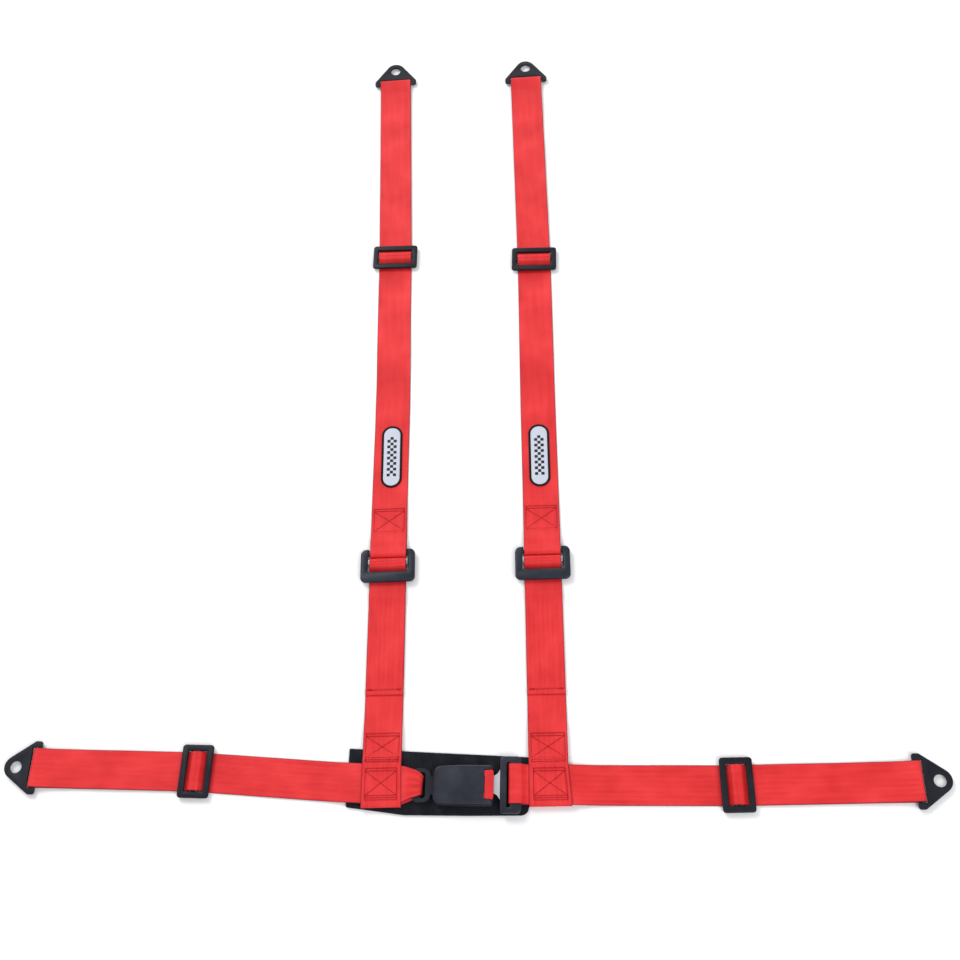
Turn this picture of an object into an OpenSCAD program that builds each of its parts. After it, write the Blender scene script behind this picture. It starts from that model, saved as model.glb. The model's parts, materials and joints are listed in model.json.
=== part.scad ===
// Four-point racing harness laid flat: two shoulder straps, two lap straps and a push-button buckle.
// X runs to the wearer's side, Y up the shoulder straps and Z up from the surface it lies on.
// The origin is under the middle of the outline.

/* [Webbing] */
// Width of every strap
web_w = 48; // [46:0.5:48.5]
// Thickness of one layer of webbing
web_t = 1.3; // [1.1:0.1:1.3]
// Thickness of the pad under the buckle
pad_t = 3; // [2:0.5:3]

/* [Anchor plates] */
// Thickness of the steel of a plate
plate_t = 3; // [2:0.5:3]
// Width of a plate across its ears
plate_w = 65.5; // [64:0.5:70]
// Radius of the bolt hole
bolt_hole_r = 7.5; // [5:0.5:8]
// Radius of the rounded nose round the bolt hole
nose_r = 14.5; // [13:0.5:16]

/* [Three-bar slides] */
// Width of a slide across the strap
slide_w = 65; // [62:0.5:68]
// Length of a slide along the strap
slide_len = 39; // [38:0.5:42]
// Thickness of a slide
slide_t = 4.2; // [3.5:0.1:4.2]

/* [Adjusters] */
// Width of an adjuster across the strap
adjuster_w = 71.5; // [68:0.5:76]
// Length of an adjuster along the strap
adjuster_len = 45.5; // [45:0.5:48]
// Thickness of an adjuster's frame
adjuster_t = 6.5; // [5:0.5:7]

/* [Buckle] */
// Length of the buckle casing
buckle_len = 72; // [70:1:76]
// Width of the buckle casing
buckle_w = 48; // [47:1:54]
// Height of the top of the casing above the surface
buckle_top = 19.5; // [19.5:0.5:22]
// Width of the press button
button_w = 35.2; // [30:0.2:35.2]
// How far the button pushes in
button_travel = 4; // [2:0.5:4]

/* [Hidden] */

// Where things lie, as [left, right] pairs of [x, y]
junction = [[-100.7, -559.2], [101.5, -557.4]];
adjuster_at = [[-108.4, -275.8], [93.7, -272.8]];
shoulder_slide_at = [[-124.7, 215.7], [80.6, 206.9]];
shoulder_hole_at = [[-143.3, 579.9], [65.4, 577.8]];
lap_slide_at = [[-330.8, -544.7], [323.8, -555.9]];
lap_hole_at = [[-558.9, -541.2], [558.9, -549.2]];
buckle_at = [-1.5, -560];
tongue_nose_x = 57.2;

// Webbing lies in plies, each a little above the one below
ply_pitch = web_t + 0.1;
strap_gap = 1.5;
function ply(k) = web_t / 2 + k * ply_pitch;

// A webbing loop round a bar that has to turn inside it
turning_bar_w = 5;
plate_slot_len = 3.2;
loop_r = 3 + web_t / 2;
bar_z = loop_r + web_t / 2;
hole_to_bar = 23.4;

// The stack of webbing where a shoulder strap crosses a lap strap
// These are [left, right] too, because the left straps cross further from square
junction_lift = pad_t + 0.1;
crossing_half = [web_w / 2 + 4.5, web_w / 2 + 1.5];
lap_low = junction_lift + ply(1);
lap_high = junction_lift + ply(2);
fold_end = [-25, -23.4];
upper_box_end = 63;

// Three-bar slide, in its own frame with Y along the strap
slide_z = 3;
slide_outer_bar = 7.8;
slide_centre_bar = 4.6;
slide_turn = -2.5;
slide_window_w = web_w + 2;
slide_reach = slide_len / 2 - 3.5;

// Adjuster, in its own frame with Y up the strap
adjuster_z = 3;
adjuster_rail = 9.2;
lower_bar_len = 14.2;
top_bar_y = 17;
top_bar_r = 2.6;
grip_bar_y = 5.5;
grip_bar_r = 3.6;
grip_loop_r = grip_bar_r + 0.3 + web_t / 2;
grip_bar_z = grip_loop_r + web_t / 2;
adjuster_reach = adjuster_len / 2 - 6.5;
tail_end = 112.5;
hem_len = 6.5;
upper_box_top = 83.5;
badge_at = [[1.2, 162], [-0.5, 159]];

// Buckle, in its own frame with X toward the tongue
cover_wall = 2.1;
buckle_floor = pad_t + 0.2;
cover_split = 8.6;
frame_z = 6.1;
frame_t = 2.4;
frame_w = 34;
end_slot_w = 31;
end_slot_x = -51.9;
end_fold_x = -52.8;
end_loop_r = 2.8 + web_t / 2;
end_bar_z = frame_z + frame_t / 2;
blade_z = 8.8;
blade_t = 2.4;
blade_mid = blade_z + blade_t / 2;
tongue_cover_t = 5;
tongue_cover_w = 68;
tongue_loop_r = tongue_cover_t / 2 + 0.35 + web_t / 2;
tongue_slot_w = web_w + 5;
button_x = buckle_len / 2 - 9.9;
button_top = 17.2;
roof = 17.4;
pivot = [-20, 12.7];
pivot_r = 1.2;
running_fit = 0.05;
screw_at = [[-14, 19.3], [17, 19.3], [-14, -19.3], [17, -19.3]];

webbing = [0.90, 0.16, 0.17];
hardware = [0.16, 0.17, 0.21];
steel = [0.62, 0.63, 0.65];

// ---- Shared geometry ----

function unit(v) = v / norm(v);
function left_of(v) = [-v.y, v.x];

// Points of an arc about c
function arc(c, r, from, to, n = 10) =
    [for (k = [0:n]) c + r * [cos(from + (to - from) * k / n), sin(from + (to - from) * k / n)]];

// Offset of point i of a path to its left, for an offset of 1
function mitre(p, i) =
    let (last = len(p) - 1,
        a = i > 0 ? unit(p[i] - p[i - 1]) : unit(p[1] - p[0]),
        b = i < last ? unit(p[i + 1] - p[i]) : unit(p[i] - p[i - 1]),
        m = unit(left_of(a) + left_of(b)))
    m / (m * left_of(a));

// Outline of a strip of thickness t along a path
function band(p, t) = concat(
    [for (i = [0:len(p) - 1]) p[i] + mitre(p, i) * t / 2],
    [for (i = [len(p) - 1:-1:0]) p[i] - mitre(p, i) * t / 2]);

// Direction of the outward normal of the tangent from circle p to circle c, both [x, y, r]
function tangent(p, c) =
    let (d = [c.x - p.x, c.y - p.y]) atan2(d.y, d.x) - acos((p.z - c.z) / norm(d));

// Outline stretched round circles given anticlockwise as [x, y, r]
function wrap(cs, n = 6) =
    [for (i = [0:len(cs) - 1])
        let (c = cs[i],
            from = tangent(cs[(i + len(cs) - 1) % len(cs)], c),
            turn = (tangent(c, cs[(i + 1) % len(cs)]) - from + 720) % 360)
        for (k = [0:n]) [c.x, c.y] + c.z * [cos(from + turn * k / n), sin(from + turn * k / n)]];

// Outline of a box with round corners
function round_box(w, l, r) = wrap([[w / 2 - r, -l / 2 + r, r], [w / 2 - r, l / 2 - r, r],
    [-w / 2 + r, l / 2 - r, r], [-w / 2 + r, -l / 2 + r, r]]);

// Webbing whose side view follows a path of [distance along, height]
module ribbon(path, w = web_w) {
    rotate([90, 0, 90])
        linear_extrude(w, center = true) polygon(band(path, web_t));
}

// Stands its children at a, with their Y axis pointing to b
module run(a, b) {
    translate([a.x, a.y, 0]) rotate([0, 0, atan2(b.y - a.y, b.x - a.x) - 90]) children();
}

module slab(z, t) translate([0, 0, z]) linear_extrude(t) children();

// Round bar across the strap
module cross_bar(r, w, y, z) translate([-w / 2, y, z]) rotate([0, 90, 0]) cylinder(r = r, h = w, $fn = 48);

// Compression spring along Z from the origin
module spring(r, wire, h, turns) {
    steps = 10;
    sides = 6;
    n = turns * steps;
    ring = [for (i = [0:n]) for (k = [0:sides - 1])
        let (turn = 360 * i / steps, side = 360 * k / sides, out = r + wire * cos(side))
        [out * cos(turn), out * sin(turn), wire + (h - 2 * wire) * i / n + wire * sin(side)]];
    skin = [for (i = [0:n - 1]) for (k = [0:sides - 1])
        let (a = i * sides + k, b = i * sides + (k + 1) % sides) each [[a, a + sides, b], [b, a + sides, b + sides]]];
    polyhedron(ring, concat(skin, [[for (k = [0:sides - 1]) k]],
        [[for (k = [sides - 1:-1:0]) n * sides + k]]));
}

// ---- Anchor plates and three-bar slides ----

// A plate with its strap bar at the origin and its bolt hole up the Y axis
module anchor_plate() {
    half = plate_w / 2;
    color(hardware) {
        slab(bar_z - plate_t / 2, plate_t) difference() {
            polygon(wrap([[half - 3, -2.6, 3], [half - 4, 1.5, 4], [0, hole_to_bar, nose_r],
                [-half + 4, 1.5, 4], [-half + 3, -2.6, 3]]));
            translate([-web_w / 2 - 1, -20]) square([web_w + 2, 20 + turning_bar_w / 2 + plate_slot_len]);
            translate([0, hole_to_bar]) circle(r = bolt_hole_r, $fn = 64);
        }
        intersection() {
            cross_bar(turning_bar_w / 2, web_w + 4, 0, bar_z);
            slab(bar_z - plate_t / 2, plate_t) square([web_w + 6, 2 * turning_bar_w], center = true);
        }
    }
}

module three_bar_slide() {
    window = slide_len / 2 - slide_outer_bar - slide_centre_bar / 2;
    color(hardware) slab(slide_z, slide_t) difference() {
        polygon(round_box(slide_w, slide_len, 4));
        for (y = [-slide_centre_bar / 2 - window, slide_centre_bar / 2])
            translate([-slide_window_w / 2, y]) square([slide_window_w, window]);
    }
}

// Slide of a shoulder strap, which lies a little out of square with its webbing
module turned_slide(side) {
    run(shoulder_slide_at[side], shoulder_hole_at[side]) rotate([0, 0, slide_turn]) three_bar_slide();
}

// Webbing from a slide at the origin out round a plate's bar and back to the slide, length away
module loop_strap(length) {
    hook_z = slide_z + slide_t + 0.3 + web_t / 2;
    over_z = hook_z + ply_pitch;
    color(webbing) ribbon(concat(
        [[-slide_reach, ply(0)], [-11.5, ply(0) + 0.15], [-7.3, 6], [-6.3, over_z - 0.7], [-4.4, over_z],
            [4.4, over_z], [6.3, over_z - 0.7], [7.3, 6], [9.8, 2.3], [12.5, ply(1)], [length - 30, ply(1)]],
        arc([length, bar_z], loop_r, 90, -90),
        [[9, ply(0)], [5.4, 3], [4.9, 6.9], [3.8, hook_z], [-3.8, hook_z], [-4.9, 6.9], [-4.7, 3.4]]));
}

// ---- Adjuster ----

module adjuster_frame() {
    inner = adjuster_w / 2 - adjuster_rail;
    lower_edge = -adjuster_len / 2 + lower_bar_len;
    color(hardware) difference() {
        union() {
            slab(adjuster_z, adjuster_t) difference() {
                polygon(round_box(adjuster_w, adjuster_len, 6));
                translate([-inner, lower_edge]) square([2 * inner, adjuster_len]);
            }
            cross_bar(top_bar_r, 2 * inner + 2, top_bar_y, bar_z);
        }
        translate([-inner - 3.2, grip_bar_y - 4, grip_bar_z - 1.8])
            cube([2 * inner + 6.4, 8, 3.6]);
    }
}

// Knurled bar that grips the webbing, with a flat tab in each rail
module adjuster_bar() {
    inner = adjuster_w / 2 - adjuster_rail;
    color(steel) union() {
        cross_bar(grip_bar_r, 2 * inner - 0.8, grip_bar_y, grip_bar_z);
        translate([-inner - 2.8, grip_bar_y - 2.3, grip_bar_z - 1.5]) cube([2 * inner + 5.6, 4.6, 3]);
    }
}

// Webbing round the knurled bar, from under the frame and back under it
module adjuster_wrap() {
    color(webbing) ribbon(concat(
        [[-adjuster_reach, ply(0)]],
        arc([grip_bar_y, grip_bar_z], grip_loop_r, -90, 165, 14),
        [[-2.6, 3.9], [-5, 2.5], [-8.6, ply(1)], [-adjuster_reach, ply(1)]]));
}

// ---- Straps ----

// Lower shoulder strap, from behind the lap strap round the bottom fold and up to the adjuster
module lower_strap(side) {
    length = norm(adjuster_at[side] - junction[side]);
    front = junction_lift + ply(3);
    back = junction_lift + ply(0);
    fold_r = (front - back) / 2;
    color(webbing) run(junction[side], adjuster_at[side]) ribbon(concat(
        [[upper_box_end, back]],
        arc([fold_end[side], back + fold_r], fold_r, 270, 90),
        [[crossing_half[side], front], [crossing_half[side] + 6, back + ply_pitch],
            [upper_box_end + 2, back + ply_pitch],
            [upper_box_end + 24, ply(0)], [length - adjuster_reach - strap_gap, ply(0)]]));
}

// Free end that lies on the lower strap, with its folded hem
module tail(side) {
    length = norm(adjuster_at[side] - junction[side]);
    hem_r = ply_pitch / 2;
    color(webbing) run(junction[side], adjuster_at[side]) ribbon(concat(
        [[length - adjuster_reach - strap_gap, ply(1)]],
        arc([tail_end, ply(1) + hem_r], hem_r, 270, 90, 6),
        [[tail_end + hem_len, ply(2)]]));
}

// Shoulder strap from the fold round the adjuster's top bar to the three-bar slide
module shoulder_strap(side) {
    length = norm(shoulder_slide_at[side] - adjuster_at[side]);
    color(webbing) run(adjuster_at[side], shoulder_slide_at[side]) ribbon(concat(
        [[upper_box_top, ply(0)]],
        arc([top_bar_y, bar_z], loop_r, -90, -270),
        [[top_bar_y + 28, ply(1)], [upper_box_top + 2, ply(1)], [upper_box_top + 14, ply(0)],
            [length - slide_reach - strap_gap, ply(0)]]));
}

// Lap strap of the buckle's side, which gathers into the end ring of the buckle frame
module left_lap_strap() {
    length = norm(lap_slide_at[0] - junction[0]);
    bar_y = -(buckle_at.x + end_fold_x - junction[0].x);
    half = web_w / 2;
    out = crossing_half[0];
    color(webbing) run(junction[0], lap_slide_at[0]) intersection() {
        ribbon(concat(
            [[length - slide_reach - strap_gap, ply(0)], [out + 32, ply(0)], [out + 1, lap_high],
                [-out, lap_high], [-out - 9, end_bar_z + end_loop_r - 0.85]],
            arc([bar_y, end_bar_z], end_loop_r, 90, 270),
            [[-out - 6, end_bar_z - end_loop_r], [-out, lap_low], [half, lap_low]]));
        slab(0, 40) polygon([[-half, length], [-half, -20], [-14.5, -36], [-10.5, bar_y + 3],
            [-8, bar_y - 9], [14, bar_y - 9], [17.5, bar_y + 3], [21.5, -36], [half, -20], [half, length]]);
    }
}

// Lap strap of the tongue's side, which folds round the bar of the tongue
module right_lap_strap() {
    length = norm(lap_slide_at[1] - junction[1]);
    nose_y = tongue_nose_x - junction[1].x;
    out = crossing_half[1];
    color(webbing) run(junction[1], lap_slide_at[1]) ribbon(concat(
        [[length - slide_reach - strap_gap, ply(0)], [out + 32, ply(0)], [out + 1, lap_high],
            [-out + 0.2, lap_high], [nose_y + 12.4, blade_mid + tongue_loop_r]],
        arc([nose_y, blade_mid], tongue_loop_r, 90, 270),
        [[nose_y + 9.3, blade_mid - tongue_loop_r], [-out, lap_low], [web_w / 2, lap_low]]));
}

// Point short of a bolt hole where the plate's strap bar lies
function bar_before(hole, from) = hole - hole_to_bar * unit(hole - from);

// A loop strap between a slide and a plate
module loop_between(slide_at, hole_at) {
    run(slide_at, hole_at) loop_strap(norm(hole_at - slide_at) - hole_to_bar);
}

module plate_at(slide_at, hole_at) {
    run(bar_before(hole_at, slide_at), hole_at) anchor_plate();
}

// ---- Badges ----

module badge_border(side) {
    color([0.07, 0.07, 0.08]) run(adjuster_at[side], shoulder_slide_at[side])
        slab(web_t + 0.1, 1.2) translate(badge_at[side]) difference() {
            polygon(round_box(28.4, 94, 13.8));
            polygon(round_box(22.4, 88, 11));
        }
}

module badge_face(side) {
    color([0.86, 0.87, 0.88]) run(adjuster_at[side], shoulder_slide_at[side])
        slab(web_t + 0.1, 0.9) translate(badge_at[side]) polygon(round_box(22.2, 87.8, 10.9));
}

// ---- Buckle ----

module in_buckle() translate([buckle_at.x, buckle_at.y, 0]) children();

// Outline of the casing, drawn in by inset
module casing(inset) {
    half = buckle_len / 2;
    side = buckle_w / 2;
    polygon(wrap([[half - 4, -side + 4, 4 - inset], [half - 4, side - 4, 4 - inset],
        [-3, side - 8, 8 - inset], [-half + 9.5, side - 10.8, 9.5 - inset],
        [-half + 9.5, -side + 10.8, 9.5 - inset], [-3, -side + 8, 8 - inset]]));
}

module buckle_pad() {
    color([0.06, 0.06, 0.07]) slab(0, pad_t) polygon(wrap([
        [-72, -592.9, 1.5], [4, -592.9, 1.5], [67.6, -583.5, 10], [75, -526, 2],
        [-141.2, -516.5, 1.5], [-141.2, -584.4, 1.5]], 4));
}

module buckle_lower_cover() {
    color(hardware) in_buckle() difference() {
        union() {
            difference() {
                slab(buckle_floor, cover_split - buckle_floor) casing(0);
                slab(buckle_floor + cover_wall, 10) casing(cover_wall);
            }
            for (p = screw_at) translate([p.x, p.y, buckle_floor])
                cylinder(r = 2.2, h = cover_split - buckle_floor, $fn = 32);
        }
        translate([-buckle_len / 2 - 1, -frame_w / 2 - 0.2, frame_z - 0.1]) cube([10, frame_w + 0.4, 10]);
        for (p = screw_at) translate([p.x, p.y, 0]) {
            cylinder(r = 1.6, h = 20, $fn = 32);
            cylinder(r = 2.8, h = buckle_floor + 1.3, $fn = 32);
        }
    }
}

module buckle_upper_cover() {
    base = cover_split + 0.1;
    color(hardware) in_buckle() difference() {
        union() {
            difference() {
                union() {
                    slab(base, buckle_top - base - 1.5) casing(0);
                    slab(base, buckle_top - base) casing(1.5);
                }
                slab(base - 1, roof - base + 1) casing(cover_wall);
            }
            for (p = screw_at) translate([p.x, p.y, base]) cylinder(r = 2.2, h = roof - base + 0.5, $fn = 32);
            for (y = [-13, 13]) translate([-9, y - 2, 12]) cube([2, 4, roof - 12 + 0.5]);
        }
        translate([button_x - 0.2, -button_w / 2 - 0.2, 0]) cube([30, button_w + 0.4, 40]);
        for (p = screw_at) translate([p.x, p.y, 0]) cylinder(r = 1.5, h = 15, $fn = 32);
    }
}

module buckle_screws() {
    color(steel) in_buckle() for (p = screw_at) translate([p.x, p.y, buckle_floor + 0.1]) {
        cylinder(r = 2.6, h = 1.2, $fn = 32);
        cylinder(r = 1.45, h = 10.6, $fn = 32);
    }
}

// Steel plate with the webbing slot outside the casing and the ears of the latch inside it
module buckle_frame() {
    color(hardware) in_buckle() union() {
        slab(frame_z, frame_t) difference() {
            union() {
                translate([-35.5, -frame_w / 2]) square([64.5, frame_w]);
                translate([-44, -11]) square([10, 22]);
                polygon(wrap([[-48.2, -11, 9], [-48.2, 11, 9], [-54, 13.7, 7], [-54, -13.7, 7]]));
            }
            polygon(wrap([[end_slot_x + 1, -end_slot_w / 2 + 1, 1], [-48.9, -end_slot_w / 2 + 3.5, 3.5],
                [-48.9, end_slot_w / 2 - 3.5, 3.5], [end_slot_x + 1, end_slot_w / 2 - 1, 1]]));
        }
        for (y = [-10, 8]) difference() {
            translate([pivot.x - 3, y, frame_z + frame_t - 0.4]) cube([6, 2, 6.4]);
            translate([pivot.x, y - 1, pivot.y]) rotate([-90, 0, 0])
                cylinder(r = pivot_r + running_fit, h = 4, $fn = 32);
        }
    }
}

module press_button() {
    end = button_x + 10.9;
    color([0.88, 0.10, 0.12]) in_buckle() {
        slab(11.5, button_top - 11.5)
            polygon(wrap([[end - 2.5, -button_w / 2 + 2.5, 2.5], [end - 2.5, button_w / 2 - 2.5, 2.5],
                [button_x + 0.5, button_w / 2 - 0.5, 0.5], [button_x + 0.5, -button_w / 2 + 0.5, 0.5]]));
        for (y = [-16.5, 10]) translate([12, y, 12.5]) cube([button_x - 12 + 0.5, 6.5, 4.5]);
    }
}

module button_springs() {
    color(steel) in_buckle() for (y = [-13, 13])
        translate([-6.9, y, 14.7]) rotate([0, 90, 0]) spring(1.4, 0.35, 18.8, 7);
}

module latch() {
    color(steel) in_buckle() difference() {
        union() {
            translate([pivot.x, -6, pivot.y - 0.7]) cube([36, 12, 1.4]);
            translate([13, -6, blade_z + blade_t + 0.2]) cube([3, 12, 1.4]);
            translate([pivot.x, -7.8, pivot.y]) rotate([-90, 0, 0]) cylinder(r = 2, h = 15.6, $fn = 32);
        }
        translate([pivot.x, -9, pivot.y]) rotate([-90, 0, 0]) cylinder(r = pivot_r + running_fit, h = 18, $fn = 32);
    }
}

module latch_pin() {
    color(steel) in_buckle() translate([pivot.x, -10.6, pivot.y]) rotate([-90, 0, 0])
        cylinder(r = pivot_r, h = 21.2, $fn = 32);
}

module latch_spring() {
    color(steel) in_buckle() translate([-4, 0, pivot.y + 0.75]) spring(1.8, 0.3, roof - pivot.y - 0.85, 5);
}

module ejector() {
    color(hardware) in_buckle() difference() {
        translate([-8, -7, blade_z]) cube([12.2, 14, blade_t]);
        translate([-9, 0, blade_z + 0.8]) rotate([0, 90, 0]) cylinder(r = 0.6, h = 4, $fn = 24);
    }
}

module ejector_spring() {
    color(steel) in_buckle() translate([-33.4, 0, blade_z + 0.8]) rotate([0, 90, 0]) spring(0.7, 0.2, 25.3, 10);
}

// ---- Tongue ----

module at_tongue() translate([0, buckle_at.y + 0.9, 0]) children();

module tongue_blade() {
    color(steel) at_tongue() slab(blade_z, blade_t) difference() {
        polygon(concat([[50, -22], [50, 22], [45, 22], [42.4, 17], [40, 13], [36.5, 10.8], [28, 10.5],
            [24, 12]], arc([6.2, 9], 3, 90, 180, 5), arc([6.2, -9], 3, 180, 270, 5),
            [[24, -12], [28, -10.5], [36.5, -10.8], [40, -13], [42.4, -17], [45, -22]]));
        translate([11, -6.5]) square([7, 13]);
    }
}

module tongue_cover() {
    z = blade_mid - tongue_cover_t / 2;
    nose = tongue_cover_t / 2;
    color(hardware) at_tongue() difference() {
        union() {
            slab(z, tongue_cover_t) difference() {
                polygon(wrap([[62.8, -tongue_cover_w / 2 + 6, 6], [62.8, tongue_cover_w / 2 - 6, 6],
                    [47.8, tongue_cover_w / 2 - 5, 5], [47.8, -tongue_cover_w / 2 + 5, 5]]));
                translate([51.2, -tongue_slot_w / 2]) square([tongue_nose_x - 51.2, tongue_slot_w]);
            }
            translate([tongue_nose_x, -tongue_slot_w / 2 - 0.5, blade_mid]) rotate([-90, 0, 0])
                cylinder(r = nose, h = tongue_slot_w + 1, $fn = 48);
        }
        translate([42, -22.1, blade_z - 0.1]) cube([8.2, 44.2, blade_t + 0.2]);
    }
}

// ---- The harness ----

buckle_pad();
buckle_lower_cover();
buckle_upper_cover();
buckle_frame();
buckle_screws();
press_button();
button_springs();
latch();
latch_pin();
latch_spring();
ejector();
ejector_spring();
tongue_blade();
tongue_cover();
left_lap_strap();  // lap_strap_l
right_lap_strap();  // lap_strap_r
run(lap_slide_at[0], lap_hole_at[0]) three_bar_slide();  // lap_slide_l
run(lap_slide_at[1], lap_hole_at[1]) three_bar_slide();  // lap_slide_r
loop_between(lap_slide_at[0], lap_hole_at[0]);  // lap_loop_strap_l
loop_between(lap_slide_at[1], lap_hole_at[1]);  // lap_loop_strap_r
plate_at(lap_slide_at[0], lap_hole_at[0]);  // lap_plate_l
plate_at(lap_slide_at[1], lap_hole_at[1]);  // lap_plate_r
lower_strap(0);  // lower_strap_l
lower_strap(1);  // lower_strap_r
run(adjuster_at[0], shoulder_slide_at[0]) adjuster_wrap();  // adjuster_wrap_l
run(adjuster_at[1], shoulder_slide_at[1]) adjuster_wrap();  // adjuster_wrap_r
tail(0);  // tail_l
tail(1);  // tail_r
run(adjuster_at[0], shoulder_slide_at[0]) adjuster_frame();  // adjuster_frame_l
run(adjuster_at[1], shoulder_slide_at[1]) adjuster_frame();  // adjuster_frame_r
run(adjuster_at[0], shoulder_slide_at[0]) adjuster_bar();  // adjuster_bar_l
run(adjuster_at[1], shoulder_slide_at[1]) adjuster_bar();  // adjuster_bar_r
shoulder_strap(0);  // shoulder_strap_l
shoulder_strap(1);  // shoulder_strap_r
badge_border(0);  // badge_border_l
badge_border(1);  // badge_border_r
badge_face(0);  // badge_face_l
badge_face(1);  // badge_face_r
turned_slide(0);  // shoulder_slide_l
turned_slide(1);  // shoulder_slide_r
loop_between(shoulder_slide_at[0], shoulder_hole_at[0]);  // shoulder_loop_strap_l
loop_between(shoulder_slide_at[1], shoulder_hole_at[1]);  // shoulder_loop_strap_r
plate_at(shoulder_slide_at[0], shoulder_hole_at[0]);  // shoulder_plate_l
plate_at(shoulder_slide_at[1], shoulder_hole_at[1]);  // shoulder_plate_r
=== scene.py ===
import json
import math
import random

import bmesh
import bpy
from mathutils import Matrix, Vector


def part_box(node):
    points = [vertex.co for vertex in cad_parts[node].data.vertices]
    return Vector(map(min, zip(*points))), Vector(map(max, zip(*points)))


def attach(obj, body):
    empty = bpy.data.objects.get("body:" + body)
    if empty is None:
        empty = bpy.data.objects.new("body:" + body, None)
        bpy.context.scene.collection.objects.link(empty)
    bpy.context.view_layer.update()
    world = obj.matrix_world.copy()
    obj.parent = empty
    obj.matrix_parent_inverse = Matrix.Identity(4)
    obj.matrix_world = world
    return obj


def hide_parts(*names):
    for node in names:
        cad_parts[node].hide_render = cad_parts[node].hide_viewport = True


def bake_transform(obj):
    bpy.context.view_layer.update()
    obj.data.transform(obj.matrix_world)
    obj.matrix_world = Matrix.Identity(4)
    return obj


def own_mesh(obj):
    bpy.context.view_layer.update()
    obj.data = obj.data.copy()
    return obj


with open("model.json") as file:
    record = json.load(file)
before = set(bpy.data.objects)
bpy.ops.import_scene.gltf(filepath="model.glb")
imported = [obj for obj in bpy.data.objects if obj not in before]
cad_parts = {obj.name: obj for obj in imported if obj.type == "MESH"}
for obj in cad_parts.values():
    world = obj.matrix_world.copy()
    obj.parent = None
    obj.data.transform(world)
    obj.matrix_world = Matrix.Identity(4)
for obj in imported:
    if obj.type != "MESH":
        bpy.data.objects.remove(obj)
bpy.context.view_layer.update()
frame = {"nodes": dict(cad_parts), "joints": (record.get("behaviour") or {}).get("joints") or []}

MM = 0.001
JOINT = {j["name"]: j for j in frame["joints"]}
SIDES = {"l": "left", "r": "right"}
ROOT = {"l": "buckle_side", "r": "tongue_side"}

# ---- Sizes, in millimetres and degrees, as the CAD model has them ----
# A strap's own Y runs along it. It starts at the crossing where the lower and lap straps are sewn together,
# or for the shoulder strap at the adjuster's middle.

WEB_W, WEB_T = 48.0, 1.3
PITCH = WEB_T + 0.1  # from one layer of webbing to the next
FOLD_R = 1.5 * PITCH  # bottom fold of a lower strap, round two layers of the lap strap
BAR_Z, LOOP_R = 4.3, 3.65  # height of the bars that straps loop round, and radius of the loop's middle
PAD_T, RIB = 3.0, 2.2
RIB_GROOVE, RIB_TOOTH = 0.4, 0.25
PAD_MIDDLE, PAD_TILT = (-33.0, -555.0), -2.4
PAD_CORNERS = [(-72, -592.9, 1.5), (4, -592.9, 1.5), (67.6, -583.5, 10), (75, -526, 2),
               (-141.2, -516.5, 1.5), (-141.2, -584.4, 1.5)]
LIFT = PAD_T + 0.1  # underside of the straps that lie on the pad
CROSSING = {"l": WEB_W / 2 + 4.5, "r": WEB_W / 2 + 1.5}
FOLD_END = {"l": -25.0, "r": -23.4}
UPPER_BOX_END = 63.0  # upper end of a lower strap's back layer
SLIDE_W, SLIDE_LEN, SLIDE_T, SLIDE_Z = 65.0, 39.0, 4.2, 3.0
SLIDE_OUTER, SLIDE_CENTRE = 7.8, 4.6
SLIDE_REACH = SLIDE_LEN / 2 - 3.5
SLIDE_TURN = -2.5
ADJ_W, ADJ_LEN, ADJ_T, ADJ_Z = 71.5, 45.5, 6.5, 3.0
ADJ_RAIL, ADJ_LOWER, ADJ_STEP = 9.2, 14.2, 14.2
ADJ_REACH = ADJ_LEN / 2 - 6.5
TOP_BAR_Y, TOP_BAR_R = 17.0, 2.6
GRIP_Y, GRIP_LOOP, GRIP_R = 5.5, 4.55, 3.6
GRIP_Z = GRIP_LOOP + WEB_T / 2
TAIL_END, HEM = 112.5, 6.5
BOX_TOP = 83.5
BADGE = {"l": (1.2, 162.0), "r": (-0.5, 159.0)}
BADGE_OUTER, BADGE_INNER, BADGE_FACE = (28.4, 94, 14.1), (22.2, 87.8, 11), (23.4, 89, 11.6)
CHECK = 4.3  # side of one check on a badge, three across and fourteen along
PLATE_W, PLATE_T, NOSE_R, HOLE_R, HOLE_TO_BAR = 65.5, 3.0, 14.5, 7.5, 23.4
PLATE_BAR, PLATE_SLOT = 5.0, 3.2
BUCKLE_LEN, BUCKLE_W, BUCKLE_TOP = 72.0, 48.0, 19.5
SPLIT, ROOF, WALL = 8.7, 17.4, 2.1
RING_TO_BUCKLE = 52.8  # from the ring's bar to the middle of the buckle's upper cover
BLADE_MID = 10.0
TONGUE_W, TONGUE_T, TONGUE_SLOT = 68.0, 5.0, 53.0
TONGUE_FOLD_X = 57.2  # middle of the webbing's fold round the tongue's bar


def ply(k):
    """Height of the middle of webbing layer k."""
    return WEB_T / 2 + k * PITCH


# ---- Places, from the frame ----

def centre_of(node):
    lo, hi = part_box(node)
    return (lo + hi) / 2


def place(origin, along):
    """Matrix of a local frame in millimetres, with Y along the strap and Z up."""
    y = Vector((along[0], along[1], 0)).normalized()
    x = Vector((y.y, -y.x, 0))
    m = Matrix((x, y, Vector((0, 0, 1)))).transposed().to_4x4()
    return Matrix.Translation((origin[0], origin[1], 0)) @ m @ Matrix.Scale(MM, 4)


def turned(degrees):
    return Matrix.Rotation(math.radians(degrees), 4, "Z")


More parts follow.
